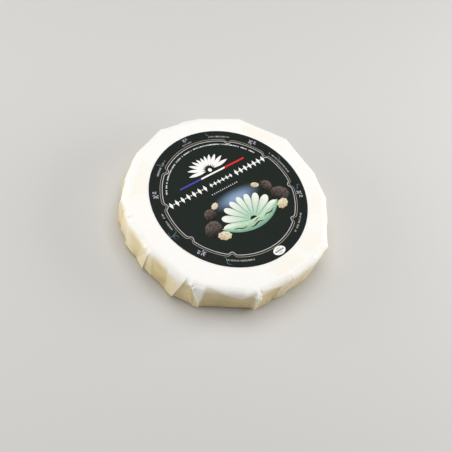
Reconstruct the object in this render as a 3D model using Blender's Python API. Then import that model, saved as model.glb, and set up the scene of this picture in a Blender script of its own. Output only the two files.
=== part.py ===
"""A whole wheel of soft white-rind cheese, wrapped in white paper, with a round paper label lying on its top.

Metres, +Z up. The wheel lies flat, and the origin is on the surface under it, in the middle of its outline.
+X runs along the label from left to right, and +Y to the label's upper edge.

The paper is drawn down tight over the rim and gathered into pleats, so the outline is a many-sided one: flat
facets between the pleats' corners, which only swell where they touch the round cheese inside.
"""

import math

import bmesh
import bpy
import numpy as np

# The wheel
HEIGHT = 0.0435
CHEESE_RADIUS = 0.1148
CHEESE_TOUCH = 0.0009
SHOULDER_RADIUS = 0.0080
FOOT_RADIUS = 0.0055
WAIST = 0.0280
SHOULDER_INSET = 0.0008
FOOT_INSET = 0.0008
FOOT_SHARE = 0.6

# The label
LABEL_RADIUS = 0.0904
LABEL_THICKNESS = 0.0004
LABEL_GAP = 0.0003
LABEL_CENTRE = (0.0015, 0.0009)
LABEL_SIDES = 120

# How finely the round parts are divided
SHOULDER_STEPS = 5
SIDE_STEPS = 8
FOOT_STEPS = 4
LONGEST_STEP = 0.0060

# Each pleat: bearing of its corner at the rim in degrees, radius of that corner in millimetres, how far its
# fold leans by the foot in degrees, how wide its flap has grown there in degrees, and how proud the fold
# stands there in millimetres. The flap lies towards larger bearings, or smaller ones where its width is
# negative.
PLEATS = (
    (15.5, 122.6, 2.0, 10.0, 2.3),
    (46.5, 120.6, -2.0, -9.0, 2.2),
    (70.0, 116.6, 1.0, 8.0, 1.9),
    (94.5, 117.8, 2.5, 10.0, 2.2),
    (118.0, 115.9, -1.0, -8.0, 1.9),
    (138.0, 117.0, -1.5, -8.0, 2.0),
    (151.5, 120.6, 1.5, 8.0, 1.8),
    (166.0, 118.8, 2.0, 9.0, 2.1),
    (186.0, 117.4, -2.0, -9.0, 2.1),
    (246.5, 122.4, 3.0, 10.0, 2.4),
    (270.0, 117.0, -1.5, -9.0, 1.9),
    (287.5, 120.4, -2.0, -7.0, 1.8),
    (298.5, 123.6, 2.0, 10.0, 2.0),
    (331.5, 118.6, -2.5, -9.0, 2.2),
    (349.0, 117.2, -1.0, -7.0, 1.8),
)
FOLD_STEP = 0.7

# The one open pleat: a kite-shaped pocket between two folds that flare out at the foot, and a flap on its
# right. Bearings are in degrees and radii in millimetres, each at the rim and at the foot. Each steep wall of
# the pocket takes a set share of its width. Round it the foot isn't drawn in: from the first bearing of the
# flare to the second it comes out, and from the third to the fourth it goes back.
POCKET_RIM = (209.0, 210.6)
POCKET_FOOT = (205.2, 217.2)
POCKET_RADIUS = (120.4, 121.8)
POCKET_FLOOR = (119.6, 120.0)
POCKET_SHARE = 0.08
POCKET_FLARE = (196.0, 203.0, 220.4, 223.0)
FLAP_EDGE = (219.6, 220.2)
FLAP_RADIUS = (121.0, 121.4)
FLAP_DROP = (0.4, 1.5)


def pleat_lines(corner, radius, lean, width, lift):
    """Three crease lines of a pleat, each (bearing, radius) at the rim and (bearing, radius) at the foot.

    The fold stands proud by lift at the foot, drops back in one short step on one side, and runs out over its
    flap's width on the other.
    """
    foot = foot_radius(radius)
    side = math.copysign(1.0, width)
    fold = ((corner, radius), (corner + lean, foot + lift))
    step = ((corner - side * FOLD_STEP, radius - 0.3), (corner + lean - side * FOLD_STEP, foot - 0.2))
    flap = ((corner + side * FOLD_STEP, radius - 0.2), (corner + lean + width, foot))
    return (step, fold, flap) if side > 0 else (flap, fold, step)


def foot_radius(radius):
    """Radius of a corner at the foot, where the paper lies closer to the cheese. All in millimetres."""
    cheese = CHEESE_RADIUS * 1000
    return cheese + FOOT_SHARE * (radius - cheese)


def pocket_lines():
    """Six crease lines of the open pleat: its folds, its floor, and its flap's edge with the step after."""

    def between(bearings, share):
        return bearings[0] + share * (bearings[1] - bearings[0])

    def line(rim_bearing, foot_bearing, radii):
        return ((rim_bearing, radii[0]), (foot_bearing, radii[1]))

    low, high = POCKET_SHARE, 1 - POCKET_SHARE
    below = [radius - drop for radius, drop in zip(FLAP_RADIUS, FLAP_DROP)]
    return (
        line(POCKET_RIM[0], POCKET_FOOT[0], POCKET_RADIUS),
        line(between(POCKET_RIM, low), between(POCKET_FOOT, low), POCKET_FLOOR),
        line(between(POCKET_RIM, high), between(POCKET_FOOT, high), POCKET_FLOOR),
        line(POCKET_RIM[1], POCKET_FOOT[1], POCKET_RADIUS),
        line(FLAP_EDGE[0], FLAP_EDGE[1], FLAP_RADIUS),
        line(FLAP_EDGE[0] + FOLD_STEP, FLAP_EDGE[1] + FOLD_STEP, below),
    )


def crease_lines():
    """All crease lines in order round the wheel, as an array of [line, rim or foot, x or y] in metres."""
    lines = [line for pleat in PLEATS for line in pleat_lines(*pleat)]
    lines.extend(pocket_lines())
    lines.sort(key=lambda line: line[0][0])
    polar = np.array(lines)
    bearing = np.radians(polar[..., 0])
    radius = polar[..., 1] / 1000
    return np.stack([radius * np.cos(bearing), radius * np.sin(bearing)], axis=-1)


def column_places(lines):
    """Where the columns stand: for each, the crease line before it and its share of the way to the next."""
    places = []
    following = np.roll(lines, -1, axis=0)
    for index, spans in enumerate(np.linalg.norm(following - lines, axis=-1)):
        steps = max(1, math.ceil(spans.max() / LONGEST_STEP))
        places.extend((index, step / steps) for step in range(steps))
    return places


def outline(lines, places, depth):
    """The outline's points at a depth of 0 at the rim to 1 at the foot.

    A point lies on the straight line between two creases, and is pushed out where that line would cut into
    the round cheese: its radius is CHEESE_RADIUS plus a softened positive part of what it stands clear.
    """
    creases = lines[:, 0] + (lines[:, 1] - lines[:, 0]) * depth
    index = np.array([place[0] for place in places])
    share = np.array([place[1] for place in places])[:, None]
    points = creases[index] + (creases[(index + 1) % len(creases)] - creases[index]) * share
    radius = np.linalg.norm(points, axis=1)
    clear = (radius - CHEESE_RADIUS) / CHEESE_TOUCH
    kept = CHEESE_RADIUS + CHEESE_TOUCH * np.logaddexp(0.0, clear)
    return points * (kept / radius)[:, None]


def smooth(value):
    """0 below 0, 1 above 1, and an even S-shaped rise between."""
    value = np.clip(value, 0.0, 1.0)
    return value * value * (3 - 2 * value)


def drawn_in(points, height):
    """How far the paper is drawn in under its waist: most at the foot, none where the open pleat flares."""
    bearing = np.degrees(np.arctan2(points[:, 1], points[:, 0])) % 360
    start, full, end, over = POCKET_FLARE
    flare = smooth((bearing - start) / (full - start)) * smooth((over - bearing) / (over - end))
    return FOOT_INSET * max(0.0, 1 - height / WAIST) * (1 - flare)


def side_profile():
    """(inset from the outline, height) from the edge of the flat top down to the edge of the flat base."""
    profile = []
    for step in range(SHOULDER_STEPS):
        turn = math.radians(90) * step / SHOULDER_STEPS
        height = HEIGHT - SHOULDER_RADIUS * (1 - math.cos(turn))
        profile.append((SHOULDER_RADIUS * (1 - math.sin(turn)), height))
    heights = [HEIGHT - SHOULDER_RADIUS, (HEIGHT - SHOULDER_RADIUS + WAIST) / 2]
    heights.extend(np.linspace(WAIST, FOOT_RADIUS, SIDE_STEPS - 1))
    for height in heights:
        profile.append((0.0, height))
    for step in range(1, FOOT_STEPS + 1):
        turn = math.radians(90) * step / FOOT_STEPS
        profile.append((FOOT_RADIUS * (1 - math.cos(turn)), FOOT_RADIUS * (1 - math.sin(turn))))
    above = [max(0.0, height - WAIST) / (HEIGHT - WAIST) for inset, height in profile]
    return [(inset + SHOULDER_INSET * share ** 2, height) for (inset, height), share in zip(profile, above)]


def wheel_rings():
    """The wheel's rings of points, top to base, centred on their extents, and the shift that this took."""
    lines = crease_lines()
    places = column_places(lines)
    rings = []
    for inset, height in side_profile():
        points = outline(lines, places, 1 - height / HEIGHT)
        radius = np.linalg.norm(points, axis=1)
        kept = 1 - (inset + drawn_in(points, height)) / radius
        rings.append(np.column_stack([points * kept[:, None], np.full(len(points), height)]))
    rings = np.array(rings)
    middle = (rings.min(axis=(0, 1)) + rings.max(axis=(0, 1)))[:2] / 2
    rings[..., :2] -= middle
    return rings, middle


def paper_material(name, colour, roughness):
    """A Principled material of one finish."""
    material = bpy.data.materials.new(name)
    material.use_nodes = True
    shader = material.node_tree.nodes["Principled BSDF"]
    shader.inputs["Base Color"].default_value = (*colour, 1.0)
    shader.inputs["Roughness"].default_value = roughness
    shader.inputs["Metallic"].default_value = 0.0
    material.diffuse_color = (*colour, 1.0)
    return material


def add_object(name, mesh, material):
    """Links a mesh as an object of that name, with its material, its round stretches shaded smooth."""
    mesh.materials.append(material)
    mesh.shade_smooth()
    mesh.set_sharp_from_angle(angle=math.radians(30))
    made = bpy.data.objects.new(name, mesh)
    bpy.context.scene.collection.objects.link(made)
    return made


def wrapped_wheel(rings):
    """One closed skin: the rings joined by quads, and one flat face each for the top and the base."""
    count = rings.shape[1]
    faces = []
    for ring in range(len(rings) - 1):
        for column in range(count):
            beside = (column + 1) % count
            upper, lower = ring * count, (ring + 1) * count
            faces.append((upper + column, lower + column, lower + beside, upper + beside))
    faces.append(tuple(range(count)))
    faces.append(tuple(range((len(rings) - 1) * count, len(rings) * count))[::-1])
    mesh = bpy.data.meshes.new("wrapped_wheel")
    mesh.from_pydata(rings.reshape(-1, 3).tolist(), [], faces)
    mesh.validate()
    return add_object("wrapped_wheel", mesh, paper_material("white_paper", (0.86, 0.84, 0.78), 0.6))


def round_label(middle):
    """A thin flat disc that lies just above the wheel's top."""
    mesh = bpy.data.meshes.new("round_label")
    shape = bmesh.new()
    disc = bmesh.ops.create_circle(shape, cap_ends=True, segments=LABEL_SIDES, radius=LABEL_RADIUS)
    lower = disc["verts"][0].link_faces[0]
    upper = bmesh.ops.extrude_face_region(shape, geom=[lower])
    raised = [item for item in upper["geom"] if isinstance(item, bmesh.types.BMVert)]
    bmesh.ops.translate(shape, verts=raised, vec=(0.0, 0.0, LABEL_THICKNESS))
    bmesh.ops.recalc_face_normals(shape, faces=shape.faces)
    shape.to_mesh(mesh)
    shape.free()
    label = add_object("round_label", mesh, paper_material("printed_black", (0.030, 0.036, 0.034), 0.4))
    label.location = (LABEL_CENTRE[0] - middle[0], LABEL_CENTRE[1] - middle[1], HEIGHT + LABEL_GAP)
    return label


for leftover in list(bpy.data.objects):
    bpy.data.objects.remove(leftover, do_unlink=True)

wheel_points, outline_middle = wheel_rings()
wrapped_wheel(wheel_points)
round_label(outline_middle)
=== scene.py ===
"""The looks of a whole soft white-rind cheese in pleated white paper, with a round black label on top.

Metres, +Z up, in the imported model's frame: the wheel lies on z = 0, and +X runs along the label.
"""

import math

import bmesh
import bpy
import numpy as np
from mathutils import Matrix, Vector


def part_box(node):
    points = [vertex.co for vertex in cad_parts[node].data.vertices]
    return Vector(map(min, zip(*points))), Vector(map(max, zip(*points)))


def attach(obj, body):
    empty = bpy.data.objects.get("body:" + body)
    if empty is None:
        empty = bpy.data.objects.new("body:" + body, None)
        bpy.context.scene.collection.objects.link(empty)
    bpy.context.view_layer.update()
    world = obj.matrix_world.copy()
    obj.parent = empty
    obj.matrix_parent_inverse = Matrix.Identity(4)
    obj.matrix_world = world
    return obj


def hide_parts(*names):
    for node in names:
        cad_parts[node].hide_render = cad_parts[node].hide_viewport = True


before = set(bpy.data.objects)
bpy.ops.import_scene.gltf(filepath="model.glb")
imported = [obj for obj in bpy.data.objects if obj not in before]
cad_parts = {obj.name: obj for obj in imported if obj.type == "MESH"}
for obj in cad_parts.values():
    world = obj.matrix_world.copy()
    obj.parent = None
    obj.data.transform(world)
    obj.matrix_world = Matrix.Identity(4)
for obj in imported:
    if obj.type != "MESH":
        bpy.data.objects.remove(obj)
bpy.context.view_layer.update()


# The paper wrap
# One sheet of thin white wrapping paper, drawn flat over the wheel's top, down its side and under its base.
# It is gathered into fifteen knife pleats and one open one, so it stands off the cheese in flat facets:
# straight runs between crease lines from rim to foot, with the paper's own small creases over them.
MM = 0.001
wheel_low, wheel_high = (np.array(corner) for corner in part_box("wrapped_wheel"))
HEIGHT = float(wheel_high[2])
CHEESE_RADIUS = 114.8 * MM
CHEESE_TOUCH = 0.9 * MM
SHOULDER_RADIUS = 8.0 * MM
FOOT_RADIUS = 5.5 * MM
WAIST = 28.0 * MM
SHOULDER_INSET = 0.8 * MM
FOOT_INSET = 0.8 * MM
FOOT_SHARE = 0.6

# Corner bearing at the rim (degrees), its radius (mm), the fold's lean to the foot (degrees), the flap's
# width at the foot (degrees, negative towards smaller bearings), and how proud the fold stands there (mm).
PLEATS = (
    (15.5, 122.6, 2.0, 10.0, 2.3),
    (46.5, 120.6, -2.0, -9.0, 2.2),
    (70.0, 116.6, 1.0, 8.0, 1.9),
    (94.5, 117.8, 2.5, 10.0, 2.2),
    (118.0, 115.9, -1.0, -8.0, 1.9),
    (138.0, 117.0, -1.5, -8.0, 2.0),
    (151.5, 120.6, 1.5, 8.0, 1.8),
    (166.0, 118.8, 2.0, 6.5, 2.1),
    (186.0, 117.4, -2.0, -8.5, 2.1),
    (246.5, 122.4, 3.0, 10.0, 2.4),
    (270.0, 117.0, -1.5, -8.0, 1.9),
    (287.5, 120.4, -2.0, -7.0, 1.8),
    (298.5, 123.6, 2.0, 10.0, 2.0),
    (331.5, 118.6, -2.5, -9.0, 2.2),
    (349.0, 117.2, -1.0, -7.0, 1.8),
)

# Each pleat's step lies this many degrees from its fold. The open pleat has the bearings of its two folds at
# the rim and at the foot, the radii (mm) of its folds and of its floor at both, the share of its width where
# the floor starts, and the bearings between which the foot isn't drawn in. Its flap's edge follows.
FOLD_STEP = 0.25
POCKET_RIM = (209.0, 210.6)
POCKET_FOOT = (205.2, 217.2)
POCKET_RADIUS = (120.4, 121.8)
POCKET_FLOOR = (119.6, 120.0)
POCKET_SHARE = 0.08
POCKET_FLARE = (196.0, 203.0, 220.4, 223.0)
FLAP_EDGE = (219.6, 220.2)
FLAP_RADIUS = (121.0, 121.4)
FLAP_DROP = (0.4, 1.5)

# The sheet's grid: its finest spacing, how far in from the outline the top's fine and coarse rows lie, and
# how many rows the rest of it has.
PAPER_CELL = 0.85 * MM
FINE_TOP = 32.5 * MM
COARSE_TOP = (112 * MM, 80 * MM, 50 * MM, 36 * MM)
SHOULDER_ROWS = 15
SIDE_ROWS = 34
FOOT_ROWS = 9
BASE_ROWS = 20


def foot_radius(radius):
    """A corner's radius at the foot in mm: a set share of what it stood clear of the cheese at the rim."""
    cheese = CHEESE_RADIUS / MM
    return cheese + FOOT_SHARE * (radius - cheese)


def pleat_lines(corner, radius, lean, width, lift):
    """A pleat's step, fold and flap's end, each a crease line as (bearing, radius) at rim and foot."""
    foot = foot_radius(radius)
    side = math.copysign(1.0, width)
    fold = ((corner, radius), (corner + lean, foot + lift))
    step = ((corner - side * FOLD_STEP, radius - 0.2), (corner + lean - side * FOLD_STEP, foot - 0.2))
    flap = ((corner + side * FOLD_STEP, radius - 0.1), (corner + lean + width, foot))
    return (step, fold, flap) if side > 0 else (flap, fold, step)


def pocket_lines():
    """Six crease lines of the open pleat: its folds, its floor, and its flap's edge with the step after."""

    def between(bearings, share):
        return bearings[0] + share * (bearings[1] - bearings[0])

    def line(rim_bearing, foot_bearing, radii):
        return ((rim_bearing, radii[0]), (foot_bearing, radii[1]))

    low, high = POCKET_SHARE, 1 - POCKET_SHARE
    below = [radius - drop for radius, drop in zip(FLAP_RADIUS, FLAP_DROP)]
    return (
        line(POCKET_RIM[0], POCKET_FOOT[0], POCKET_RADIUS),
        line(between(POCKET_RIM, low), between(POCKET_FOOT, low), POCKET_FLOOR),
        line(between(POCKET_RIM, high), between(POCKET_FOOT, high), POCKET_FLOOR),
        line(POCKET_RIM[1], POCKET_FOOT[1], POCKET_RADIUS),
        line(FLAP_EDGE[0], FLAP_EDGE[1], FLAP_RADIUS),
        line(FLAP_EDGE[0] + FOLD_STEP, FLAP_EDGE[1] + FOLD_STEP, below),
    )


def crease_lines():
    """Every crease line in order round the wheel: [line, rim or foot, x or y], metres from the axis."""
    lines = [line for pleat in PLEATS for line in pleat_lines(*pleat)] + list(pocket_lines())
    lines.sort(key=lambda line: line[0][0])
    ends = np.array(lines)
    bearing, radius = np.radians(ends[..., 0]), ends[..., 1] * MM
    return np.stack([radius * np.cos(bearing), radius * np.sin(bearing)], axis=-1)


def columns_between(lines, cell):
    """Columns of points round the wheel: the crease line before each, and its share of the way onwards."""
    spans = np.linalg.norm(np.roll(lines, -1, axis=0) - lines, axis=-1).mean(axis=1)
    steps = np.maximum(1, np.ceil(spans / cell).astype(int))
    line = np.repeat(np.arange(len(lines)), steps)
    share = np.concatenate([np.arange(n) / n for n in steps])
    return line, share


def outline_at(lines, line, share, depth):
    """The outline at each depth, 0 at the rim and 1 at the foot, as [depth, column, x or y].

    Straight between creases, then pushed out to the cheese: the radius becomes the cheese's plus a softened
    positive part of the clearance.
    """
    creases = lines[None, :, 0] + (lines[:, 1] - lines[:, 0])[None] * depth[:, None, None]
    ahead = np.roll(creases, -1, axis=1)
    points = creases[:, line] + (ahead - creases)[:, line] * share[None, :, None]
    radius = np.linalg.norm(points, axis=2, keepdims=True)
    kept = CHEESE_RADIUS + CHEESE_TOUCH * np.logaddexp(0.0, (radius - CHEESE_RADIUS) / CHEESE_TOUCH)
    return points * (kept / radius)


def drawn_in(height, bearing):
    """How far the paper is drawn in under its waist: most at the foot, none where the open pleat flares."""
    start, full, end, over = POCKET_FLARE
    flare = smooth((bearing - start) / (full - start)) * smooth((over - bearing) / (over - end))
    return FOOT_INSET * np.clip(1 - height / WAIST, 0, 1) * (1 - flare)


def wrap_profile():
    """Rows from the middle of the top to the middle of the base: inset from the outline, height, run, slope.

    Run is the length along the paper in metres, 0 where the shoulder starts, negative on the top. Slope is
    the angle of the paper's outward normal over the horizontal.
    """
    quarter = math.pi / 2
    top = np.concatenate([COARSE_TOP, np.arange(FINE_TOP, SHOULDER_RADIUS, -PAPER_CELL)])
    turn = np.linspace(0, quarter, SHOULDER_ROWS)
    side = np.linspace(HEIGHT - SHOULDER_RADIUS, FOOT_RADIUS, SIDE_ROWS)
    foot = np.linspace(0, quarter, FOOT_ROWS)[1:]
    base = np.linspace(FOOT_RADIUS, COARSE_TOP[0], BASE_ROWS)[1:]
    inset = np.concatenate([
        top, SHOULDER_RADIUS * (1 - np.sin(turn)), 0 * side[1:], FOOT_RADIUS * (1 - np.cos(foot)), base])
    height = np.concatenate([
        0 * top + HEIGHT, HEIGHT - SHOULDER_RADIUS * (1 - np.cos(turn)), side[1:],
        FOOT_RADIUS * (1 - np.sin(foot)), 0 * base])
    slope = np.concatenate([0 * top + quarter, quarter - turn, 0 * side[1:], -foot, 0 * base - quarter])
    inset = inset + SHOULDER_INSET * np.clip((height - WAIST) / (HEIGHT - WAIST), 0, 1) ** 2
    run = np.concatenate([[0], np.cumsum(np.hypot(np.diff(inset), np.diff(height)))])
    return inset, height, run - run[len(top)], slope


def smooth(value):
    """0 below 0, 1 above 1, and 3v squared less 2v cubed between."""
    value = np.clip(value, 0.0, 1.0)
    return value * value * (3 - 2 * value)


# Fields of small creases, broad and fine ones on the side and some on the top's rim: seed, how many, between
# which runs they lie (mm), their lengths, half widths and lifts (mm), and how far they may lean (radians).
BROAD_CREASES = (11, 60, (4.0, 46.0), (12.0, 26.0), (5.0, 13.0), (0.25, 0.6), 0.7)
FINE_CREASES = (12, 130, (2.0, 46.0), (4.0, 14.0), (0.9, 2.6), (0.12, 0.38), 1.3)
RIM_CREASES = (13, 70, (-16.0, 6.0), (6.0, 18.0), (1.2, 5.0), (0.08, 0.34), 0.5)


def creased(around, run, girth, creases):
    """A field of random tent-shaped creases, added up: each rises by its lift on a line of its length.

    It falls off evenly to nothing over its width on both sides, and its ends fade. Around is a length along
    the paper that comes back to 0 at girth.
    """
    seed, count, runs, lengths, widths, lifts, tilt = creases
    draw = np.random.default_rng(seed)
    field = np.zeros_like(around)
    for _ in range(count):
        place, level = draw.uniform(0, girth), draw.uniform(*runs) * MM
        length, width, lift = [draw.uniform(*sizes) * MM for sizes in (lengths, widths, lifts)]
        lean, sign = draw.uniform(-tilt, tilt), draw.choice((-1.0, 1.0))
        aside = (around - place + girth / 2) % girth - girth / 2
        below = run - level
        across = aside * math.cos(lean) - below * math.sin(lean)
        along = aside * math.sin(lean) + below * math.cos(lean)
        tent = np.clip(1 - np.abs(across) / width, 0, 1)
        field += sign * lift * tent * smooth(1.5 - 1.5 * np.abs(along) / length)
    return field


# Panels of the folded sheet that lie deeper or prouder than the facet round them: corners as (bearing,
# height in mm), how far it stands out in mm, how wide its edge is in mm, and how much warmer it looks, which
# on the side is painted shade where positive and painted light where negative. A height over the wheel's own
# goes on inwards across the top, where the doubled sheet shows as faint tints.
PANELS = (
    (((191.0, 56.0), (191.0, 41.0), (200.0, 36.0), (205.8, 27.0), (206.4, 56.0)), 0.0, 13.0, -0.36),
    (((217.2, -4.0), (214.4, 34.0), (213.0, 41.0), (219.6, 41.5), (219.6, -4.0)), 0.6, 0.8, -0.20),
    (((206.2, -4.0), (209.4, 42.5), (214.2, 35.0), (217.0, 19.0), (217.0, -4.0)), -0.3, 1.2, 0.22),
    (((220.0, 50.0), (220.0, 44.0), (224.0, 41.5), (229.0, 36.8), (236.0, 31.2), (240.0, 31.2),
      (243.2, 37.5), (246.0, 47.0), (246.0, 50.0)), 0.8, 2.4, -0.16),
    (((220.4, 43.5), (224.0, 41.5), (238.5, 29.6), (238.5, -4.0), (219.9, -4.0)), -0.2, 1.6, 0.24),
    (((238.5, 30.0), (246.2, 43.0), (247.6, -4.0), (238.5, -4.0)), -0.2, 1.6, 0.20),
    (((239.0, 32.5), (245.4, 46.0), (240.6, 43.5)), 0.8, 2.4, -0.10),
    (((245.6, 40.0), (246.2, 33.0), (250.6, 28.0), (249.4, 38.0)), 0.0, 1.5, -0.30),
    (((249.3, 41.0), (250.6, -4.0), (262.5, -4.0), (261.0, 37.0)), -0.8, 1.8, 0.12),
    (((152.4, 40.0), (158.4, 41.0), (157.6, -4.0), (153.2, -4.0)), -1.0, 1.4, 0.10),
    (((169.5, 40.0), (180.0, 42.0), (178.0, -4.0), (176.5, -4.0)), -0.4, 3.0, 0.06),
    (((188.5, 40.0), (199.0, 41.5), (201.0, -4.0), (191.0, -4.0)), -0.5, 3.0, 0.16),
    (((301.5, 39.0), (314.0, 41.0), (309.5, -4.0), (306.5, -4.0)), -0.6, 3.0, 0.07),
    (((335.5, 38.0), (343.0, 40.0), (346.5, -4.0), (337.5, -4.0)), -0.5, 3.0, 0.06),
    (((49.5, 38.0), (62.0, 41.0), (66.0, -4.0), (47.5, -4.0)), -0.5, 3.5, 0.05),
    (((97.5, 38.0), (112.0, 40.5), (110.5, -4.0), (108.5, -4.0)), -0.5, 3.0, 0.07),
    (((261.0, 45.0), (258.0, 57.0), (268.0, 65.0), (281.0, 56.0), (283.0, 45.0)), 0.0, 0.8, 0.34),
    (((288.5, 45.0), (286.0, 63.0), (300.0, 70.0), (305.0, 45.0)), 0.0, 0.8, 0.26),
    (((318.0, 45.0), (315.0, 58.0), (329.0, 66.0), (335.0, 45.0)), 0.0, 0.8, 0.24),
    (((20.0, 45.0), (26.0, 62.0), (42.0, 58.0), (45.0, 45.0)), 0.0, 0.8, 0.30),
    (((122.0, 45.0), (125.0, 62.0), (147.0, 66.0), (150.0, 45.0)), 0.0, 0.8, 0.30),
)

# Small crumples beside the pleats: bearing (degrees), height (mm), lift (mm), half width (mm), half height
# (mm) and lean (degrees).
CRUMPLES = (
    (212.6, 40.4, 1.9, 2.3, 3.0, 25.0),
    (214.4, 37.6, 1.0, 1.4, 4.0, -30.0),
    (212.0, 36.8, -1.2, 1.6, 2.4, 0.0),
    (246.6, 37.0, 2.3, 2.4, 3.2, 20.0),
    (249.2, 32.0, 1.6, 1.4, 4.6, 48.0),
    (248.6, 41.5, -1.2, 1.6, 2.8, 20.0),
    (242.0, 23.0, 0.8, 1.6, 13.0, -33.0),
    (236.5, 19.0, 0.6, 1.4, 11.0, -25.0),
    (162.0, 41.5, 1.3, 1.8, 3.0, 10.0),
    (182.0, 39.5, 1.1, 2.0, 3.0, -20.0),
    (158.8, 36.0, 1.0, 1.2, 7.0, 5.0),
    (300.0, 34.0, 0.9, 1.3, 6.0, 12.0),
    (47.6, 35.0, 1.2, 1.5, 5.0, -15.0),
    (95.5, 34.0, 1.2, 1.5, 5.0, 15.0),
    (16.6, 33.0, 1.3, 1.5, 6.0, -10.0),
)


def beside(around, bearing, girth):
    """How far along the paper each point lies past a bearing, the short way round."""
    return (around - bearing / 360 * girth + girth / 2) % girth - girth / 2


# A pleat's own flap as a panel: its upper and lower end (mm), how far it stands out (mm), how wide its edge
# is (mm), and how much warmer it looks.
FLAP_TOP, FLAP_FOOT = 44.0, -4.0
FLAP_LOOK = (0.15, 0.9, -0.12)


def flap_panels():
    """A panel for each pleat's own flap, which lies double: a triangle from the rim's corner to the foot."""
    return tuple(
        (((corner, FLAP_TOP), (corner + lean, FLAP_FOOT), (corner + lean + width, FLAP_FOOT)), *FLAP_LOOK)
        for corner, _, lean, width, _ in PLEATS)


def panelled(around, height, girth):
    """The panels' relief and how much warmer they look, painted shade and painted light on the side, added
    up.

    The distance inside a panel is the least of the distances to its sides, and each panel rises as that
    distance over its edge, smoothed and held to 1.
    """
    relief, painted_shade_and_tint = np.zeros_like(around), np.zeros_like(around)
    for corners, lift, edge, warmer in PANELS + flap_panels():
        first = corners[0][0]
        x = beside(around, first, girth)
        flat = np.array([((bearing - first) / 360 * girth, level * MM) for bearing, level in corners])
        ahead = np.roll(flat, -1, axis=0) - flat
        turned = np.sign(np.sum(flat[:, 0] * np.roll(flat[:, 1], -1) - np.roll(flat[:, 0], -1) * flat[:, 1]))
        inside = np.full_like(around, np.inf)
        for (px, py), (dx, dy) in zip(flat, ahead):
            across = turned * (dx * (height - py) - dy * (x - px)) / math.hypot(dx, dy)
            inside = np.minimum(inside, across)
        share = smooth(inside / (edge * MM) + 0.5)
        relief += lift * MM * share
        painted_shade_and_tint += warmer * share
    return relief, painted_shade_and_tint


def crumpled(around, height, girth):
    """The named crumples, added up: each a tent over a leaning ellipse, as high as its lift."""
    field = np.zeros_like(around)
    for bearing, level, lift, wide, high, lean in CRUMPLES:
        turn = math.radians(lean)
        x, above = beside(around, bearing, girth), height - level * MM
        across = (x * math.cos(turn) + above * math.sin(turn)) / (wide * MM)
        along = (above * math.cos(turn) - x * math.sin(turn)) / (high * MM)
        field += lift * MM * np.clip(1 - np.hypot(across, along), 0, 1)
    return field


# Where a field of the sheet fades, as the place without it and the place in full: mm along the paper past
# the top's edge, mm of height, or mm of radius.
SIDE_FROM_RUN = (2.0, 10.0)
SIDE_FROM_HEIGHT = (-1.0, 4.0)
RIM_FROM_TOP_RUN = (-22.0, -2.0)
RIM_FROM_SIDE_RUN = (14.0, 4.0)
BASE_FROM_HEIGHT = (8.0, 0.0)
BASE_FROM_RADIUS = (12.0, 42.0)
PAINTED_SHADE_FROM_HEIGHT = (42.5, 33.5)
FOOT_PAINTED_SHADE_FROM_HEIGHT = (34.0, 0.0)
PANEL_FROM_HEIGHT = (44.5, 41.5)
PANEL_FROM_RADIUS = (70.0, 106.0)

# How slack the paper is on the cheese: creases fade by this share at the full clearance.
FULL_CLEARANCE = 6 * MM
SLACK_LOSS = 0.7

# The folds under the base: how far they rise, how far they turn aside on the way in, and their edge's share.
BASE_FOLD = 0.9 * MM
BASE_SWIRL = 0.5
BASE_FOLD_EDGE = 0.12

# How warm the paper looks, as painted shade and painted warm bounce light: on the side, more to the foot,
# less where it stands clear, more where it lies deep as painted shade, and less where it stands proud as a
# painted highlight.
SIDE_PAINTED_SHADE = 0.46
FOOT_PAINTED_SHADE = 0.30
CLEAR_COOLING = 0.15
DEEP_PAINTED_SHADE, DEEP = 0.22, 1.2 * MM
PROUD_PAINTED_LIGHT, PROUD = 0.34, 1.5 * MM


def fade(place, ends):
    """0 at the first end and 1 at the second, smoothed between: the place in metres, the ends in mm."""
    return smooth((place / MM - ends[0]) / (ends[1] - ends[0]))


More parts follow.
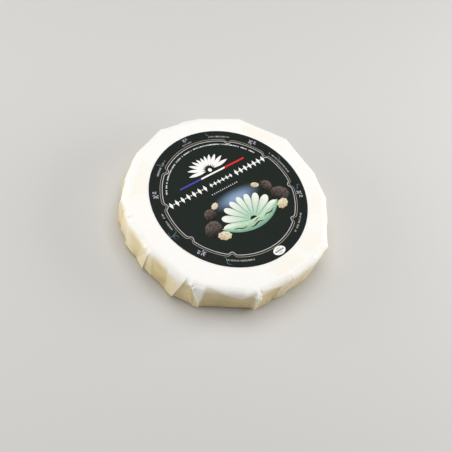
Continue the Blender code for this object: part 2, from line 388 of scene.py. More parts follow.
def paper_surface():
    """The sheet's points as [row, column, xyz], and how warm the paper looks there as painted shade, 0 on
    top to 1 in a fold.

    Base form first: outline minus inset at each height. Then the relief is added along the normal: broad and
    fine creases, panels and crumples on the side, and creases that run in from the rim on the top. On the
    base, folds rise as their share of a turn, lie one over the next, and fade towards the middle.
    """
    lines = crease_lines()
    line, share = columns_between(lines, PAPER_CELL)
    inset, height, run, slope = wrap_profile()
    flat = outline_at(lines, line, share, 1 - height / HEIGHT)
    radius = np.linalg.norm(flat, axis=2)
    outward = flat / radius[..., None]
    bearing = np.arctan2(outward[..., 1], outward[..., 0]) % (2 * math.pi)
    girth = 2 * math.pi * CHEESE_RADIUS
    around = bearing * CHEESE_RADIUS
    run_there = run[:, None] + 0 * around
    height_there = height[:, None] + 0 * around

    clearance = np.clip((radius - CHEESE_RADIUS) / FULL_CLEARANCE, 0, 1)
    on_side = fade(run_there, SIDE_FROM_RUN) * fade(height_there, SIDE_FROM_HEIGHT)
    taut = on_side * (1 - SLACK_LOSS * clearance)
    near_rim = fade(run_there, RIM_FROM_TOP_RUN) * fade(run_there, RIM_FROM_SIDE_RUN)
    relief = taut * creased(around, run_there, girth, BROAD_CREASES)
    relief += taut * creased(around, run_there, girth, FINE_CREASES)
    relief += near_rim * creased(around, run_there, girth, RIM_CREASES)
    level = height_there + np.maximum(0.0, -run_there)
    panel_relief, panel_shade_and_tint = panelled(around, level, girth)
    relief += panel_relief * on_side + crumpled(around, level, girth)
    normal_out, normal_up = np.cos(slope)[:, None], np.sin(slope)[:, None]
    bare = radius - inset[:, None] - drawn_in(height_there, np.degrees(bearing))
    reach = bare + relief * normal_out
    rise = height_there + relief * normal_up

    on_base = fade(height_there, BASE_FROM_HEIGHT) * fade(bare, BASE_FROM_RADIUS)
    turned = bearing / (2 * math.pi) * len(PLEATS) + BASE_SWIRL * (bare / CHEESE_RADIUS) ** 2
    fold_share = turned % 1.0
    fold_rise = BASE_FOLD * on_base * fold_share * smooth((1 - fold_share) / BASE_FOLD_EDGE)
    faces_down = normal_up < -0.99
    rise = np.where(faces_down, fold_rise, np.maximum(rise, 0.0))
    points = np.concatenate([outward * reach[..., None], rise[..., None]], axis=2)

    # Painted shade and warm bounce light on the side and towards the foot, painted shade where the paper
    # lies deep, and a painted highlight where it stands proud.
    warm = SIDE_PAINTED_SHADE + FOOT_PAINTED_SHADE * fade(height_there, FOOT_PAINTED_SHADE_FROM_HEIGHT) - CLEAR_COOLING * clearance
    warm += DEEP_PAINTED_SHADE * smooth(-relief / DEEP) - PROUD_PAINTED_LIGHT * smooth(relief / PROUD)
    warm *= fade(height_there, PAINTED_SHADE_FROM_HEIGHT)
    warm += panel_shade_and_tint * fade(height_there, PANEL_FROM_HEIGHT) * fade(bare, PANEL_FROM_RADIUS)
    return points, np.clip(warm, 0, 1)


def closed_sheet(name, points):
    """A mesh of quads over [row, column] points that wrap round, with one face on each end row."""
    rows, columns = points.shape[:2]
    here = np.arange((rows - 1) * columns).reshape(rows - 1, columns)
    onward = np.roll(here, -1, axis=1)
    quads = np.stack([here, here + columns, onward + columns, onward], axis=-1).reshape(-1, 4)
    first_row = list(range(columns))
    last_row = list(range((rows - 1) * columns, rows * columns))[::-1]
    mesh = bpy.data.meshes.new(name)
    mesh.from_pydata(points.reshape(-1, 3).tolist(), [], quads.tolist() + [first_row, last_row])
    mesh.update()
    return mesh


CREASE_ANGLE = math.radians(26)


def new_piece(name, mesh, material):
    """Links a mesh as a piece of that name, with its material, smooth but for sharp creases."""
    mesh.materials.append(material)
    mesh.shade_smooth()
    mesh.set_sharp_from_angle(angle=CREASE_ANGLE)
    piece = bpy.data.objects.new(name, mesh)
    bpy.context.scene.collection.objects.link(piece)
    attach(piece, "root")
    return piece


def new_material(name):
    """A node material, its node tree and its Principled shader."""
    material = bpy.data.materials.new(name)
    material.use_nodes = True
    return material, material.node_tree, material.node_tree.nodes["Principled BSDF"]


def feed(tree, node, inputs):
    """Sets a node's inputs, by name or number, to values, or links them from sockets."""
    for key, value in inputs.items():
        if isinstance(value, bpy.types.NodeSocket):
            tree.links.new(value, node.inputs[key])
        else:
            node.inputs[key].default_value = value


def add_node(tree, kind, inputs=None, **settings):
    """Adds one node with its settings and its inputs."""
    node = tree.nodes.new(kind)
    for key, value in settings.items():
        setattr(node, key, value)
    feed(tree, node, inputs or {})
    return node


def fibre_group():
    """A paper's fibres: a normal, and a mottle from 0 to 1, with inputs for both scales and the depth."""
    tree = bpy.data.node_groups.new("paper_fibres", "ShaderNodeTree")
    for name in ("Scale", "Depth", "Mottle Scale"):
        tree.interface.new_socket(name, in_out="INPUT", socket_type="NodeSocketFloat")
    tree.interface.new_socket("Normal", in_out="OUTPUT", socket_type="NodeSocketVector")
    tree.interface.new_socket("Mottle", in_out="OUTPUT", socket_type="NodeSocketFloat")
    given = tree.nodes.new("NodeGroupInput")
    result = tree.nodes.new("NodeGroupOutput")
    place = add_node(tree, "ShaderNodeTexCoord")
    fine = add_node(tree, "ShaderNodeTexNoise", {
        "Vector": place.outputs["Object"], "Scale": given.outputs["Scale"],
        "Detail": 4.0, "Roughness": 0.62})
    slow = add_node(tree, "ShaderNodeTexNoise", {
        "Vector": place.outputs["Object"], "Scale": given.outputs["Mottle Scale"],
        "Detail": 3.0, "Roughness": 0.55})
    bump = add_node(tree, "ShaderNodeBump", {
        "Height": fine.outputs["Fac"], "Distance": given.outputs["Depth"], "Strength": 1.0})
    feed(tree, result, {"Normal": bump.outputs["Normal"], "Mottle": slow.outputs["Fac"]})
    return tree


fibres = fibre_group()

# The paper's colour at each step of its painted shade, from white on the top to tan in a fold, the tan being
# painted shade and warm bounce light.
PAPER_STOPS = (0.0, 0.35, 0.65, 1.0)
PAPER_SHADE_RAMP = ((0.905, 0.902, 0.912), (0.855, 0.780, 0.600), (0.740, 0.628, 0.382), (0.560, 0.455, 0.235))


def wrap_material():
    """White wrapping paper: white on top, and warmer on the side, where shade and warm bounce light are
    painted into its colour.
    """
    material, tree, shader = new_material("white_wrapping_paper")
    grain = add_node(tree, "ShaderNodeGroup", {"Scale": 900.0, "Depth": 0.06 * MM, "Mottle Scale": 46.0},
                     node_tree=fibres)
    # The painted shade comes in from the sheet's attribute and runs the colour ramp.
    warm = add_node(tree, "ShaderNodeAttribute", attribute_name="painted_shade_and_tint")
    uneven = add_node(tree, "ShaderNodeMapRange", {
        "Value": grain.outputs["Mottle"], "From Min": 0.3, "From Max": 0.7, "To Min": 0.82, "To Max": 1.12})
    shifted = add_node(tree, "ShaderNodeMath", {0: warm.outputs["Fac"], 1: uneven.outputs["Result"]},
                       operation="MULTIPLY")
    colour = add_node(tree, "ShaderNodeValToRGB", {"Fac": shifted.outputs["Value"]})
    ramp = colour.color_ramp.elements
    for stop, tint in zip(PAPER_STOPS, PAPER_SHADE_RAMP):
        point = ramp.new(stop) if 0 < stop < 1 else ramp[-int(stop)]
        point.color = (*tint, 1)
    cool = add_node(tree, "ShaderNodeMapRange", {
        "Value": grain.outputs["Mottle"], "From Min": 0.35, "From Max": 0.65, "To Min": 0.0, "To Max": 1.0})
    tints = add_node(tree, "ShaderNodeMix", {
        "Factor": cool.outputs["Result"], "A": (1.0, 0.975, 0.935, 1), "B": (0.970, 0.990, 0.970, 1)},
        data_type="RGBA")
    tinted = add_node(tree, "ShaderNodeMix", {
        "Factor": 1.0, "A": colour.outputs["Color"], "B": tints.outputs["Result"]},
        data_type="RGBA", blend_type="MULTIPLY")
    place = add_node(tree, "ShaderNodeTexCoord")
    folds = add_node(tree, "ShaderNodeTexNoise", {
        "Vector": place.outputs["Object"], "Scale": 62.0,
        "Detail": 3.0, "Roughness": 0.55, "Distortion": 0.9})
    from_fold = add_node(tree, "ShaderNodeMath", {0: folds.outputs["Fac"], 1: 0.5}, operation="SUBTRACT")
    ridges = add_node(tree, "ShaderNodeMath", {0: from_fold.outputs["Value"]}, operation="ABSOLUTE")
    on_side = add_node(tree, "ShaderNodeMapRange", {
        "Value": warm.outputs["Fac"], "From Min": 0.0, "From Max": 0.3, "To Min": 0.30, "To Max": 1.0})
    relief = add_node(tree, "ShaderNodeMath", {0: ridges.outputs["Value"], 1: on_side.outputs["Result"]},
                      operation="MULTIPLY")
    crinkles = add_node(tree, "ShaderNodeBump", {
        "Height": relief.outputs["Value"], "Normal": grain.outputs["Normal"],
        "Distance": 1.8 * MM, "Strength": 1.0})
    feed(tree, shader, {
        "Base Color": tinted.outputs["Result"], "Normal": crinkles.outputs["Normal"],
        "Roughness": 0.52, "Specular IOR Level": 0.35,
        "Subsurface Weight": 0.12, "Subsurface Radius": (4 * MM, 3 * MM, 2 * MM), "Subsurface Scale": 1.0})
    return material


# The sheet is moved so that its outline's middle is on the axis, and held inside the solid wheel's box.
paper_points, paper_shade_and_tint = paper_surface()
middle = (paper_points.min(axis=(0, 1)) + paper_points.max(axis=(0, 1)))[:2] / 2
paper_points[..., :2] = np.clip(paper_points[..., :2] - middle, wheel_low[:2], wheel_high[:2])
paper_mesh = closed_sheet("paper_wrap", paper_points)
# The paper's painted shade goes to its material as a point attribute.
painted_shade_and_tint = paper_mesh.attributes.new("painted_shade_and_tint", "FLOAT", "POINT")
painted_shade_and_tint.data.foreach_set("value", paper_shade_and_tint.ravel())
paper_wrap = new_piece("paper_wrap", paper_mesh, wrap_material())
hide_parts("wrapped_wheel")


# The label
# A round of smooth coated paper, 181 mm across, stuck down flat on the wrap. It is printed charcoal, a
# little bluer towards its rim, almost to its white cut edge. All printing is thin fields of ink above it.
label_low, label_high = (np.array(corner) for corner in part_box("round_label"))
LABEL_MIDDLE = (label_low + label_high)[:2] / 2
LABEL_RADIUS = float(label_high[0] - label_low[0]) / 2
LABEL_BASE = HEIGHT + 0.05 * MM
LABEL_TOP = HEIGHT + 0.30 * MM
LABEL_SIDES = 240
CUT_EDGE = 0.15
FIELD_RINGS = 46
RIM_TINT = (62.0, 86.0)
INK_RISE = 0.06 * MM


def ring_points(radii, heights, sides):
    """Circles of the given radii and heights round the label's middle, as [circle, side, xyz]."""
    turn = np.linspace(0, 2 * math.pi, sides, endpoint=False)
    radii, heights = np.array(radii)[:, None], np.array(heights)[:, None]
    return np.stack([
        LABEL_MIDDLE[0] + radii * np.cos(turn), LABEL_MIDDLE[1] + radii * np.sin(turn),
        heights + 0 * turn], axis=-1)


def linear(red, green, blue):
    """A printer's colour of 0 to 255 a channel as the light it throws back, from 0 to 1."""
    share = np.array([red, green, blue]) / 255
    return tuple(np.where(share > 0.04045, ((share + 0.055) / 1.055) ** 2.4, share / 12.92).tolist())


def ink_material(name, colour, end_colour=None, mottle=0.10, grain_scale=160.0, roughness=0.44):
    """Printed ink on coated paper, from one colour to the other by the "tone" attribute, with a mottle."""
    material, tree, shader = new_material(name)
    grain = add_node(tree, "ShaderNodeGroup", {
        "Scale": 1300.0, "Depth": 0.02 * MM, "Mottle Scale": grain_scale}, node_tree=fibres)
    tone = add_node(tree, "ShaderNodeAttribute", attribute_name="tone")
    base = add_node(tree, "ShaderNodeMix", {
        "Factor": tone.outputs["Fac"], "A": (*colour, 1), "B": (*(end_colour or colour), 1)},
        data_type="RGBA")
    shade = add_node(tree, "ShaderNodeMapRange", {
        "Value": grain.outputs["Mottle"], "From Min": 0.3, "From Max": 0.7,
        "To Min": 1 - mottle, "To Max": 1.0})
    tint = add_node(tree, "ShaderNodeMix", {
        "Factor": 1.0, "A": base.outputs["Result"], "B": shade.outputs["Result"]},
        data_type="RGBA", blend_type="MULTIPLY")
    feed(tree, shader, {
        "Base Color": tint.outputs["Result"], "Normal": grain.outputs["Normal"],
        "Roughness": roughness, "Specular IOR Level": 0.05})
    return material


def printed(piece):
    """Hands a printed piece back as it is."""
    return piece


def ink_patches(name, patches, tone, level, material):
    """A printed piece of curved grids: patches is [patch, row, column, xy] in mm, and tone matches it."""
    count, rows, columns = patches.shape[:3]
    height = np.full(patches.shape[:3], LABEL_TOP + level * INK_RISE)
    points = np.concatenate([LABEL_MIDDLE + patches * MM, height[..., None]], axis=-1)
    corner = np.arange(count * rows * columns).reshape(count, rows, columns)
    quads = np.stack([
        corner[:, :-1, :-1], corner[:, 1:, :-1], corner[:, 1:, 1:], corner[:, :-1, 1:]], axis=-1)
    mesh = bpy.data.meshes.new(name)
    mesh.from_pydata(points.reshape(-1, 3).tolist(), [], quads.reshape(-1, 4).tolist())
    values = mesh.attributes.new("tone", "FLOAT", "POINT")
    values.data.foreach_set("value", np.broadcast_to(tone, patches.shape[:3]).ravel())
    return printed(finished_print(name, mesh, material))


def finished_print(name, mesh, material):
    """Joins touching points of a printed mesh and turns its faces up, then links it as a piece."""
    shape = bmesh.new()
    shape.from_mesh(mesh)
    bmesh.ops.remove_doubles(shape, verts=shape.verts, dist=0.001 * MM)
    bmesh.ops.dissolve_degenerate(shape, dist=0.001 * MM, edges=shape.edges)
    shape.normal_update()
    bmesh.ops.reverse_faces(shape, faces=[face for face in shape.faces if face.normal.z < 0])
    shape.to_mesh(mesh)
    shape.free()
    return new_piece(name, mesh, material)


# The label's profile: a flat top, an edge with a softened upper corner, and a flat base.
label_rings = LABEL_RADIUS - np.array([70.0, 0.5, 0.1, 0.0, 0.1, 70.0]) * MM
label_heights = [LABEL_TOP, LABEL_TOP, LABEL_TOP - 0.03 * MM, LABEL_TOP - 0.1 * MM, LABEL_BASE, LABEL_BASE]
label_mesh = closed_sheet("label_paper", ring_points(label_rings, label_heights, LABEL_SIDES))
label_paper = new_piece("label_paper", label_mesh,
                        ink_material("label_stock", linear(240, 240, 238), mottle=0.03))
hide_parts("round_label")
printed(label_paper)

field_radius = np.linspace(0, LABEL_RADIUS / MM - CUT_EDGE, FIELD_RINGS)[:, None]
field_turn = np.linspace(0, 2 * math.pi, LABEL_SIDES + 1)[None, :]
field = np.stack([field_radius * np.cos(field_turn), field_radius * np.sin(field_turn)], axis=-1)[None]
field_tone = fade(field_radius * MM, RIM_TINT)[None] + 0 * field_turn
ink_patches("label_field", field, field_tone, 1,
            ink_material("charcoal_ink", linear(32, 39, 34), linear(31, 37, 35), roughness=0.5))


# The printed frame
# Two fine lines of ink run round the label, each with eight small notches, as on old engraved labels.
# Between the outer line and the rim stand small leaf sprigs, thin veins and short rows of fine marks.
NOTCHES = (18, 54, 126, 162, 198, 234, 306, 342)
NOTCH_DEPTH = 3.2
NOTCH_HALF_WIDTH = 3.2
NOTCH_POWER = 2.6
LINE_STEP = 0.25
INNER_LINE = (75.5, 0.80)
OUTER_LINE = (77.9, 0.62)
MARK_PITCH = 1.6
MARK_WIDTHS = (0.45, 1.15)
MARK_GAP_CHANCE = 0.10

# Veins from one (radius, bearing) to another, with their sway and width; rows of marks with their radius,
# first and last bearing, height and seed; and sprigs with their bearing, radius and size.
RIM_VEINS = (
    ((88, 124), (79.5, 121), 0.10, 0.8), ((88, 71), (80.5, 70), -0.12, 0.8),
    ((80, 183), (87, 190), 0.16, 0.7), ((84, 191), (88.5, 183), -0.20, 0.7),
    ((80, 227), (88, 233), 0.14, 0.8), ((80, 337), (86.5, 341), -0.15, 0.8),
    ((79.5, 5), (87.5, 10), 0.15, 0.7),
)
RIM_MARKS = (
    (82.2, 117, 133, 2.2, 31), (82.0, 53, 70.5, 2.2, 32), (80.9, 86.5, 94.5, 1.9, 33),
    (82.0, -7, 17, 2.2, 34), (82.0, 168, 187, 2.2, 35), (82.3, 229.5, 251.3, 2.2, 36),
    (82.3, 295.5, 313.4, 2.2, 37),
)
RIM_SPRIGS = (
    (150.8, 82.9, 8.6), (33.4, 83.2, 8.6), (210.6, 82.6, 8.6), (332.0, 82.6, 8.6), (90.0, 85.9, 6.0),
)
ARC_MARKS = (70.8, 28, 152, 1.7, 38)


def polar(radius, degrees):
    """Points in mm from the label's middle, at a radius and a bearing."""
    turn = np.radians(degrees)
    return np.stack(np.broadcast_arrays(radius * np.cos(turn), radius * np.sin(turn)), axis=-1)


def ink_fields(name, outlines, level, material):
    """A printed piece of flat fields: each outline is [point, xy] in mm from the label's middle."""
    counts = [len(outline) for outline in outlines]
    starts = np.cumsum([0] + counts[:-1])
    flat = LABEL_MIDDLE + np.concatenate(outlines) * MM
    points = np.column_stack([flat, np.full(len(flat), LABEL_TOP + level * INK_RISE)])
    mesh = bpy.data.meshes.new(name)
    faces = [list(range(start, start + count)) for start, count in zip(starts, counts)]
    mesh.from_pydata(points.tolist(), [], faces)
    return printed(finished_print(name, mesh, material))


def strokes(path, width):
    """Quads of a line of ink along a path [point, xy], half the width to each side, square to its run."""
    along = np.gradient(path, axis=0)
    along /= np.linalg.norm(along, axis=1, keepdims=True)
    aside = np.column_stack([-along[:, 1], along[:, 0]]) * np.reshape(width, (-1, 1)) / 2
    left, right = path + aside, path - aside
    return list(np.stack([left[:-1], right[:-1], right[1:], left[1:]], axis=1))


def frame_line(radius, width):
    """A ring with notches: at each, the radius less the depth times exp(-|arc / half width| to the power).

    The path runs one step past the full turn at both ends, and the strokes there are dropped.
    """
    bearing = np.arange(-1, round(360 / LINE_STEP) + 2) * LINE_STEP
    arc = (bearing[:, None] - np.array(NOTCHES) + 180) % 360 - 180
    arc = np.radians(arc) * radius
    notches = np.exp(-np.abs(arc / NOTCH_HALF_WIDTH) ** NOTCH_POWER).sum(axis=1)
    return strokes(polar(radius - NOTCH_DEPTH * notches, bearing), width)[1:-1]


def small_marks(radius, start, end, height, seed):
    """A row of small upright dashes along an arc, of seeded widths, with a gap here and there."""
    draw = np.random.default_rng(seed)
    places = np.arange(start, end, math.degrees(MARK_PITCH / radius))
    places = places[draw.uniform(0, 1, len(places)) > MARK_GAP_CHANCE]
    half_width = np.degrees(draw.uniform(*MARK_WIDTHS, len(places)) / 2 / radius)
    half_height = height / 2 * draw.uniform(0.75, 1.0, len(places))
    marks = []
    for place, wide, high in zip(places, half_width, half_height):
        up, aside = np.array([1, 1, -1, -1]), np.array([1, -1, -1, 1])
        marks.append(polar(radius + high * up, place + wide * aside))
    return marks


def dot(centre, radius, sides=14):
    """A round dot's outline."""
    turn = np.linspace(0, 2 * math.pi, sides, endpoint=False)
    return np.array(centre) + radius * np.column_stack([np.cos(turn), np.sin(turn)])


def leaf(root, heading, length, width, bend=0.0, points=10):
    """A leaf's outline: half its width times sin(pi s) to the 0.8 on each side, s being the share along.

    Its middle line is bent aside by the bend (mm) times sin(pi s).
    """
    share = np.linspace(0, 1, points)
    half = width / 2 * np.sin(math.pi * share) ** 0.8
    centre = bend * np.sin(math.pi * share)
    upper, lower = np.column_stack([share, centre + half]), np.column_stack([share, centre - half])
    outline = np.vstack([upper, lower[-2:0:-1]])
    outline[:, 0] *= length
    turn = math.radians(heading)
    rotation = np.array([[math.cos(turn), math.sin(turn)], [-math.sin(turn), math.cos(turn)]])
    return np.array(root) + outline @ rotation


# A sprig's leaves: how far each is turned from the sprig's run (degrees), its length and width as shares of
# the sprig's size, and its bend (mm).
SPRIG_LEAVES = (
    (0, 0.42, 0.10, 0.0), (32, 0.50, 0.12, 0.12), (-32, 0.50, 0.12, -0.12),
    (78, 0.34, 0.10, 0.12), (-78, 0.34, 0.10, -0.12), (172, 0.52, 0.10, 0.12),
)


def sprig(bearing, radius, size):
    """A small flourish on the ring: five thin leaves at one end, and a tendril and a loop at the other."""
    across = bearing + 90
    centre = polar(radius, bearing)
    shapes = []
    for turn, reach, wide, bend in SPRIG_LEAVES:
        root = centre + 0.10 * size * polar(1.0, across + turn)
        shapes.append(leaf(root, across + turn, size * reach, size * wide, bend))
    loop = np.array(centre) + size * (polar(0.44, across + 214) + polar(0.12, np.linspace(0, 350, 19)))
    return shapes + strokes(loop, 0.07 * size)


def vein(start, end, sway, width):
    """A thin wavering stroke: the sway times its length times sin(2.2 pi s) aside, thinner at its ends."""
    share = np.linspace(0, 1, 16)
    start, end = np.array(start), np.array(end)
    side = np.array([-(end - start)[1], (end - start)[0]])
    path = start + (end - start) * share[:, None] + side * (sway * np.sin(2.2 * math.pi * share))[:, None]
    return strokes(path, width * np.sin(math.pi * (0.08 + 0.84 * share)))


pale_line = ink_material("pale_line_ink", linear(196, 196, 212))
olive_line = ink_material("olive_line_ink", linear(166, 160, 132))
grey_mark = ink_material("grey_mark_ink", linear(176, 178, 182))
teal_vein = ink_material("teal_vein_ink", linear(96, 122, 130))
white_ink = ink_material("white_ink", linear(246, 246, 246), mottle=0.04)

ink_fields("frame_inner_line", frame_line(*INNER_LINE), 2, pale_line)
ink_fields("frame_outer_line", frame_line(*OUTER_LINE), 2, olive_line)
ink_fields("rim_veins", [quad for start, end, sway, width in RIM_VEINS
                         for quad in vein(polar(*start), polar(*end), sway, width)], 2, teal_vein)
ink_fields("rim_marks", [mark for row in RIM_MARKS for mark in small_marks(*row)], 2, grey_mark)
ink_fields("rim_sprigs", [outline for place in RIM_SPRIGS for outline in sprig(*place)], 3, pale_line)
ink_fields("arc_marks", small_marks(*ARC_MARKS), 2, white_ink)


# The title, the rule and the rows of ornament
# Flat ornament across the label's upper half, printed in white and spot inks: a palmette of leaves, a rule
# in three colours under it, a frieze of lozenges, and a row of dots.
RULE_HEIGHT = 33.3
RULE_THICK = 2.0
RULE_SLANT = 0.9
RULE_ENDS = (-44.8, -15.2, 18.1, 46.5)
PALMETTE_ROOT = (1.0, 38.6)
PALMETTE_HEART = 2.3
PALMETTE_START = 5.5
PALMETTE_HEADINGS = (6.0, 174.0)
PALMETTE_LEAVES = 11
PALMETTE_LENGTH, PALMETTE_LONGER = 13.0, 9.0
PALMETTE_WIDTH, PALMETTE_WIDER = 3.5, 0.8
FRIEZE_LINE = 21.0
FRIEZE_DOT = 0.75
LOZENGE_POWER = 0.9
DOT_ROW_LINE = 10.2
DOT_ROW_ENDS = (-17.0, 18.0)
DOT_ROW_COUNT = 13
DOT_ROW_RADIUS = 0.8


def slab(left, right):
    """One length of the rule, with slanted ends."""
    top, foot = RULE_HEIGHT + RULE_THICK / 2, RULE_HEIGHT - RULE_THICK / 2
    return np.array([(left - RULE_SLANT / 2, foot), (right - RULE_SLANT / 2, foot),
                     (right + RULE_SLANT / 2, top), (left + RULE_SLANT / 2, top)])


def lozenge(centre, half_width, half_height):
    """An upright diamond whose sides curve in: |x/a| to the power plus |y/b| to the power is 1."""
    turn = np.linspace(0, 2 * math.pi, 24, endpoint=False)
    cosine, sine = np.cos(turn), np.sin(turn)
    x = half_width * np.sign(cosine) * np.abs(cosine) ** (2 / LOZENGE_POWER)
    y = half_height * np.sign(sine) * np.abs(sine) ** (2 / LOZENGE_POWER)
    return np.array(centre) + np.column_stack([x, y])


ink_fields("rule_blue", [slab(RULE_ENDS[0], RULE_ENDS[1])], 2, ink_material("blue_ink", linear(76, 76, 172)))
ink_fields("rule_white", [slab(RULE_ENDS[1], RULE_ENDS[2])], 2, white_ink)
ink_fields("rule_red", [slab(RULE_ENDS[2], RULE_ENDS[3])], 2, ink_material("red_ink", linear(232, 48, 60)))

# The palmette's leaves stand in a fan, and those at its sides are longer and wider than the middle one.
palmette = [dot(PALMETTE_ROOT, PALMETTE_HEART, sides=28)]
for heading in np.linspace(*PALMETTE_HEADINGS, PALMETTE_LEAVES):
    lying = abs(math.cos(math.radians(heading)))
    root = np.array(PALMETTE_ROOT) + polar(PALMETTE_START, heading)
    length = PALMETTE_LENGTH + PALMETTE_LONGER * lying ** 1.6
    palmette.append(leaf(root, heading, length, PALMETTE_WIDTH + PALMETTE_WIDER * lying))
ink_fields("title_palmette", palmette, 2, white_ink)

# The frieze's three runs: where each starts and ends, its lozenges' half width and half height, their count.
FRIEZE_RUNS = ((-65.4, -19.2, 2.2, 4.5, 7), (-10.6, 17.6, 1.7, 3.0, 6), (25.8, 65.6, 2.2, 4.5, 7))
frieze = []
for start, end, wide, high, count in FRIEZE_RUNS:
    places = np.linspace(start, end, count)
    frieze += [lozenge((x, FRIEZE_LINE), wide, high) for x in places]
    frieze += [dot((x, FRIEZE_LINE), FRIEZE_DOT) for x in (places[:-1] + places[1:]) / 2]
ink_fields("frieze", frieze, 2, white_ink)
dot_row = [dot((x, DOT_ROW_LINE), DOT_ROW_RADIUS) for x in np.linspace(*DOT_ROW_ENDS, DOT_ROW_COUNT)]
ink_fields("dot_row", dot_row, 2, pale_line)


# The printed picture
# A plain printed fan: cream petals over a mint bowl with dark streaks, between dark and cream ovals, on a
# soft cold glow. Each is a thin field of ink, shaded from one colour to another.
FAN_ROOT = (5.0, -39.0)
FAN_PETALS = 9
FAN_HEADINGS = (10.0, 170.0)
FAN_START = 5.0
FAN_REACH = 33.0
FAN_SPREAD = 0.18
PETAL_ROWS = 25
PETAL_COLUMNS = 17
PETAL_FILL = 0.94
PETAL_ROUND_FROM = 0.62
BOWL_WIDTH = 40.0
BOWL_DEPTH = 12.0
BOWL_RISE = 7.0
BOWL_OVER_ROOT = 1.5
BOWL_ROWS = 14
BOWL_COLUMNS = 49
GLOW_RINGS = 16
OVAL_RINGS = 12
OVAL_SIDES = 48

# The glow's middle, half width and half height.
GLOW = ((5.0, -6.0), 36.0, 13.0)

# The streaks on the bowl, from one point to another, with their sway and width.
STREAKS = (
    ((-24, -38), (-8, -42), 0.05, 1.3), ((-5, -44.5), (13, -44.5), -0.05, 1.6),
    ((17, -42), (33, -38), 0.06, 1.3), ((2, -40.4), (12, -40.0), -0.05, 0.8),
)

# Dark and pale ovals: middle, half width, half height, how far they are turned (degrees), and their knobs.
HUSKS = (
    ((-43.0, -26.0), 11.0, 9.0, 20, 0.05), ((53.0, -26.0), 11.0, 9.0, -20, 0.05),
    ((-35.0, -9.5), 7.5, 6.5, 35, 0.05), ((45.0, -9.5), 7.5, 6.5, -35, 0.05),
)
KERNELS = (
    ((-37.0, -38.5), 8.0, 5.0, -15, 0.12), ((47.0, -38.5), 8.0, 5.0, 15, 0.12),
    ((-24.0, -3.0), 4.6, 3.4, 25, 0.12), ((34.0, -3.0), 4.6, 3.4, -25, 0.12),
)


def oval_patch(centre, half_width, half_height, turned=0.0, knobs=0.0, rings=OVAL_RINGS):
    """An oval as a grid of rings and sides: the half axes times each ring's share, 0 to 1.

    Its knobs push the edge in and out by their share times sin(5t) sin(3t + the turn), t being the bearing.
    """
    share = np.linspace(0, 1, rings)[:, None]
    turn = np.linspace(0, 2 * math.pi, OVAL_SIDES + 1)[None, :]
    reach = share * (1 + knobs * np.sin(5 * turn) * np.sin(3 * turn + turned))
    x, y = half_width * reach * np.cos(turn), half_height * reach * np.sin(turn)
    lean = math.radians(turned)
    return np.stack([centre[0] + x * math.cos(lean) - y * math.sin(lean),
                     centre[1] + x * math.sin(lean) + y * math.cos(lean)], axis=-1)


def petal_patch(heading, pitch, reach, share, across):
    """A petal as a grid of radius and heading, which fills most of its share of the fan.

    Its half angle is a set share of half the pitch, and past 0.62 of the way it rounds off as a quarter
    circle does: the square root of (1 - p squared), p being how far it has come from there to the tip.
    """
    past = np.clip(share - PETAL_ROUND_FROM, 0, 1) / (1 - PETAL_ROUND_FROM)
    half = PETAL_FILL * pitch / 2 * np.sqrt(np.clip(1 - past ** 2, 0, 1))
    radius = FAN_START + (reach - FAN_START) * share + 0 * across
    return np.array(FAN_ROOT) + polar(radius, heading + half * across)


glow = oval_patch(*GLOW, rings=GLOW_RINGS)[None]
glow_tone = smooth(1 - np.linspace(0, 1, GLOW_RINGS))[None, :, None] + 0 * glow[..., 0]
ink_patches("picture_glow", glow, glow_tone, 2,
            ink_material("cold_glow_ink", linear(32, 39, 34), linear(140, 165, 200)))

# The petals at the fan's sides reach further than the middle one. Each pales from its root to its tip, and
# is a little deeper along its edges.
headings = np.linspace(*FAN_HEADINGS, FAN_PETALS)
pitch = headings[1] - headings[0]
reaches = FAN_REACH * (1 + FAN_SPREAD * np.cos(np.radians(headings)) ** 2)
petal_share = np.sin(np.linspace(0, math.pi / 2, PETAL_ROWS))[:, None]
petal_across = np.linspace(-1, 1, PETAL_COLUMNS)[None, :]
petals = np.stack([petal_patch(heading, pitch, reach, petal_share, petal_across)
                   for heading, reach in zip(headings, reaches)])
petal_shade = np.clip(1.05 - 1.2 * petal_share + 0.30 * np.abs(petal_across) ** 3, 0, 1)
ink_patches("picture_petals", petals, petal_shade[None] + 0 * petals[..., 0], 3,
            ink_material("cream_ink", linear(240, 244, 236), linear(168, 206, 182), grain_scale=320.0))

# The bowl as a grid: x across it, and y from its upper edge, which rises as x squared, down by its depth
# times (1 - x squared) to the power 0.6.
bowl_across = np.linspace(-1, 1, BOWL_COLUMNS)[None, :]
bowl_down = np.linspace(0, 1, BOWL_ROWS)[:, None]
bowl_edge = FAN_ROOT[1] + BOWL_OVER_ROOT + BOWL_RISE * bowl_across ** 2
bowl = np.stack([
    FAN_ROOT[0] + BOWL_WIDTH * bowl_across + 0 * bowl_down,
    bowl_edge - BOWL_DEPTH * bowl_down * (1 - bowl_across ** 2) ** 0.6,
], axis=-1)[None]
bowl_tone = np.clip(bowl_down * 1.1 - 0.1, 0, 1)[None] + 0 * bowl[..., 0]
ink_patches("picture_bowl", bowl, bowl_tone, 4,
            ink_material("mint_ink", linear(198, 228, 198), linear(112, 162, 140), 0.22, 240.0))
dark_ink = ink_material("dark_ink", linear(34, 34, 32))
ink_fields("picture_streaks", [quad for streak in STREAKS for quad in vein(*streak)], 5, dark_ink)

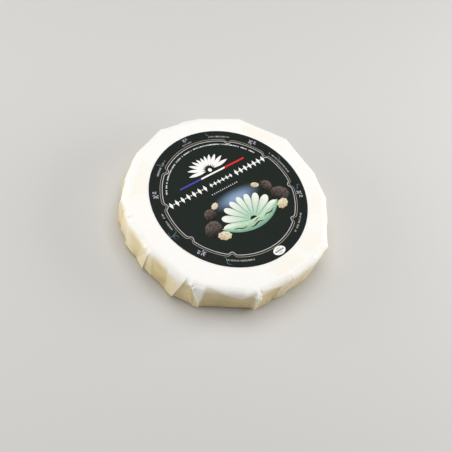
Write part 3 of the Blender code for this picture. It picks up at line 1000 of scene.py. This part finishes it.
# Before they are turned, the ovals are lighter on their upper right: half the ring's share times
# sin(bearing + 0.6).
husks = np.stack([oval_patch(*husk) for husk in HUSKS])
oval_share = np.linspace(0, 1, OVAL_RINGS)[None, :, None]
oval_light = 0.5 * oval_share * np.sin(np.linspace(0, 2 * math.pi, OVAL_SIDES + 1)[None, None, :] + 0.6)
ink_patches("picture_husks", husks, np.clip(0.45 + oval_light, 0, 1) + 0 * husks[..., 0], 3,
            ink_material("husk_ink", linear(38, 36, 36), linear(132, 118, 110), 0.80, 430.0))
kernels = np.stack([oval_patch(*kernel) for kernel in KERNELS])
ink_patches("picture_kernels", kernels, np.clip(0.75 + oval_light, 0, 1) + 0 * kernels[..., 0], 4,
            ink_material("kernel_ink", linear(196, 174, 136), linear(246, 234, 204), 0.45, 420.0))


# The seal
# A small white oval of ink near the label's lower edge, outside the frame. Three rows of upright slate marks
# are printed over it, the middle one taller and longer than the two others.
SEAL_CENTRE = (3.7, -83.5)
SEAL_HALF_WIDTH = 7.8
SEAL_HALF_HEIGHT = 5.0
SEAL_MARK_SHARE = 0.70

# The rows: how far each lies over the seal's middle, its half length, its marks' height and their count.
SEAL_ROWS = ((2.6, 1.9, 0.8, 4), (0.0, 5.4, 1.9, 11), (-2.6, 1.9, 0.8, 4))

seal = oval_patch(SEAL_CENTRE, SEAL_HALF_WIDTH, SEAL_HALF_HEIGHT)[None]
ink_patches("seal", seal, 0.0, 2, white_ink)
seal_row_marks = []
for level, reach, height, count in SEAL_ROWS:
    half_width = SEAL_MARK_SHARE * reach / count
    corners = np.array([(-1, -1), (1, -1), (1, 1), (-1, 1)]) * (half_width, height / 2)
    seal_row_marks += [corners + SEAL_CENTRE + (x, level) for x in np.linspace(-reach, reach, count)]
ink_fields("seal_marks", seal_row_marks, 3, ink_material("slate_ink", linear(62, 62, 76)))


# The camera, the floor and the light
# The wheel lies on a plain pale floor, under one large soft light from above and one low on each side.
# The camera stands where the photograph was taken.
CAMERA_PLACE = Vector((-0.37847, -0.25397, 0.66023))
CAMERA_RIGHT = Vector((0.768966, -0.600761, 0.218582))
CAMERA_DOWN = Vector((-0.431270, -0.739878, -0.516319))
LENS = 55.14
FLOOR_LEVEL = -0.1 * MM
FLOOR_REACH = 4.0
LIGHT_AIM = Vector((0, 0, 0.02))

camera = bpy.data.objects.new("camera", bpy.data.cameras.new("camera"))
camera.data.lens = LENS
camera.data.sensor_width = 36.0
camera.data.clip_start = 0.05
camera.data.clip_end = 20.0
right, up = CAMERA_RIGHT.normalized(), -CAMERA_DOWN.normalized()
back = right.cross(up)
turned = Matrix((right, up, back)).transposed().to_4x4()
camera.matrix_world = Matrix.Translation(CAMERA_PLACE) @ turned
bpy.context.scene.collection.objects.link(camera)
bpy.context.scene.camera = camera

floor_mesh = bpy.data.meshes.new("floor")
floor_corners = [(x * FLOOR_REACH, y * FLOOR_REACH, FLOOR_LEVEL)
                 for x, y in ((-1, -1), (1, -1), (1, 1), (-1, 1))]
floor_mesh.from_pydata(floor_corners, [], [(0, 1, 2, 3)])
floor = bpy.data.objects.new("floor", floor_mesh)
bpy.context.scene.collection.objects.link(floor)
floor_finish, floor_tree, floor_shader = new_material("pale_floor")
feed(floor_tree, floor_shader, {"Base Color": (0.60, 0.60, 0.60, 1), "Roughness": 0.9})
floor_mesh.materials.append(floor_finish)


def area_light(name, place, width, depth, power, colour):
    """A soft light of that width and depth at a place, turned to the wheel."""
    light = bpy.data.lights.new(name, "AREA")
    light.shape = "RECTANGLE"
    light.size, light.size_y = width, depth
    light.energy = power
    light.color = colour
    lamp = bpy.data.objects.new(name, light)
    lamp.location = place
    lamp.rotation_euler = (LIGHT_AIM - Vector(place)).to_track_quat("-Z", "Y").to_euler()
    bpy.context.scene.collection.objects.link(lamp)


area_light("soft_top", (0.12, 0.30, 1.40), 1.2, 1.2, 15.1, (0.98, 0.98, 1.0))
area_light("soft_left", (-0.96, 0.60, 0.30), 1.0, 0.5, 7.6, (1.0, 0.95, 0.86))
area_light("soft_right", (0.92, -0.62, 0.42), 1.0, 0.5, 8.8, (1.0, 0.95, 0.86))
world = bpy.data.worlds.new("studio")
world.use_nodes = True
feed(world.node_tree, world.node_tree.nodes["Background"], {"Color": (1, 0.975, 0.91, 1), "Strength": 0.22})
bpy.context.scene.world = world
bpy.context.scene.view_settings.view_transform = "Standard"
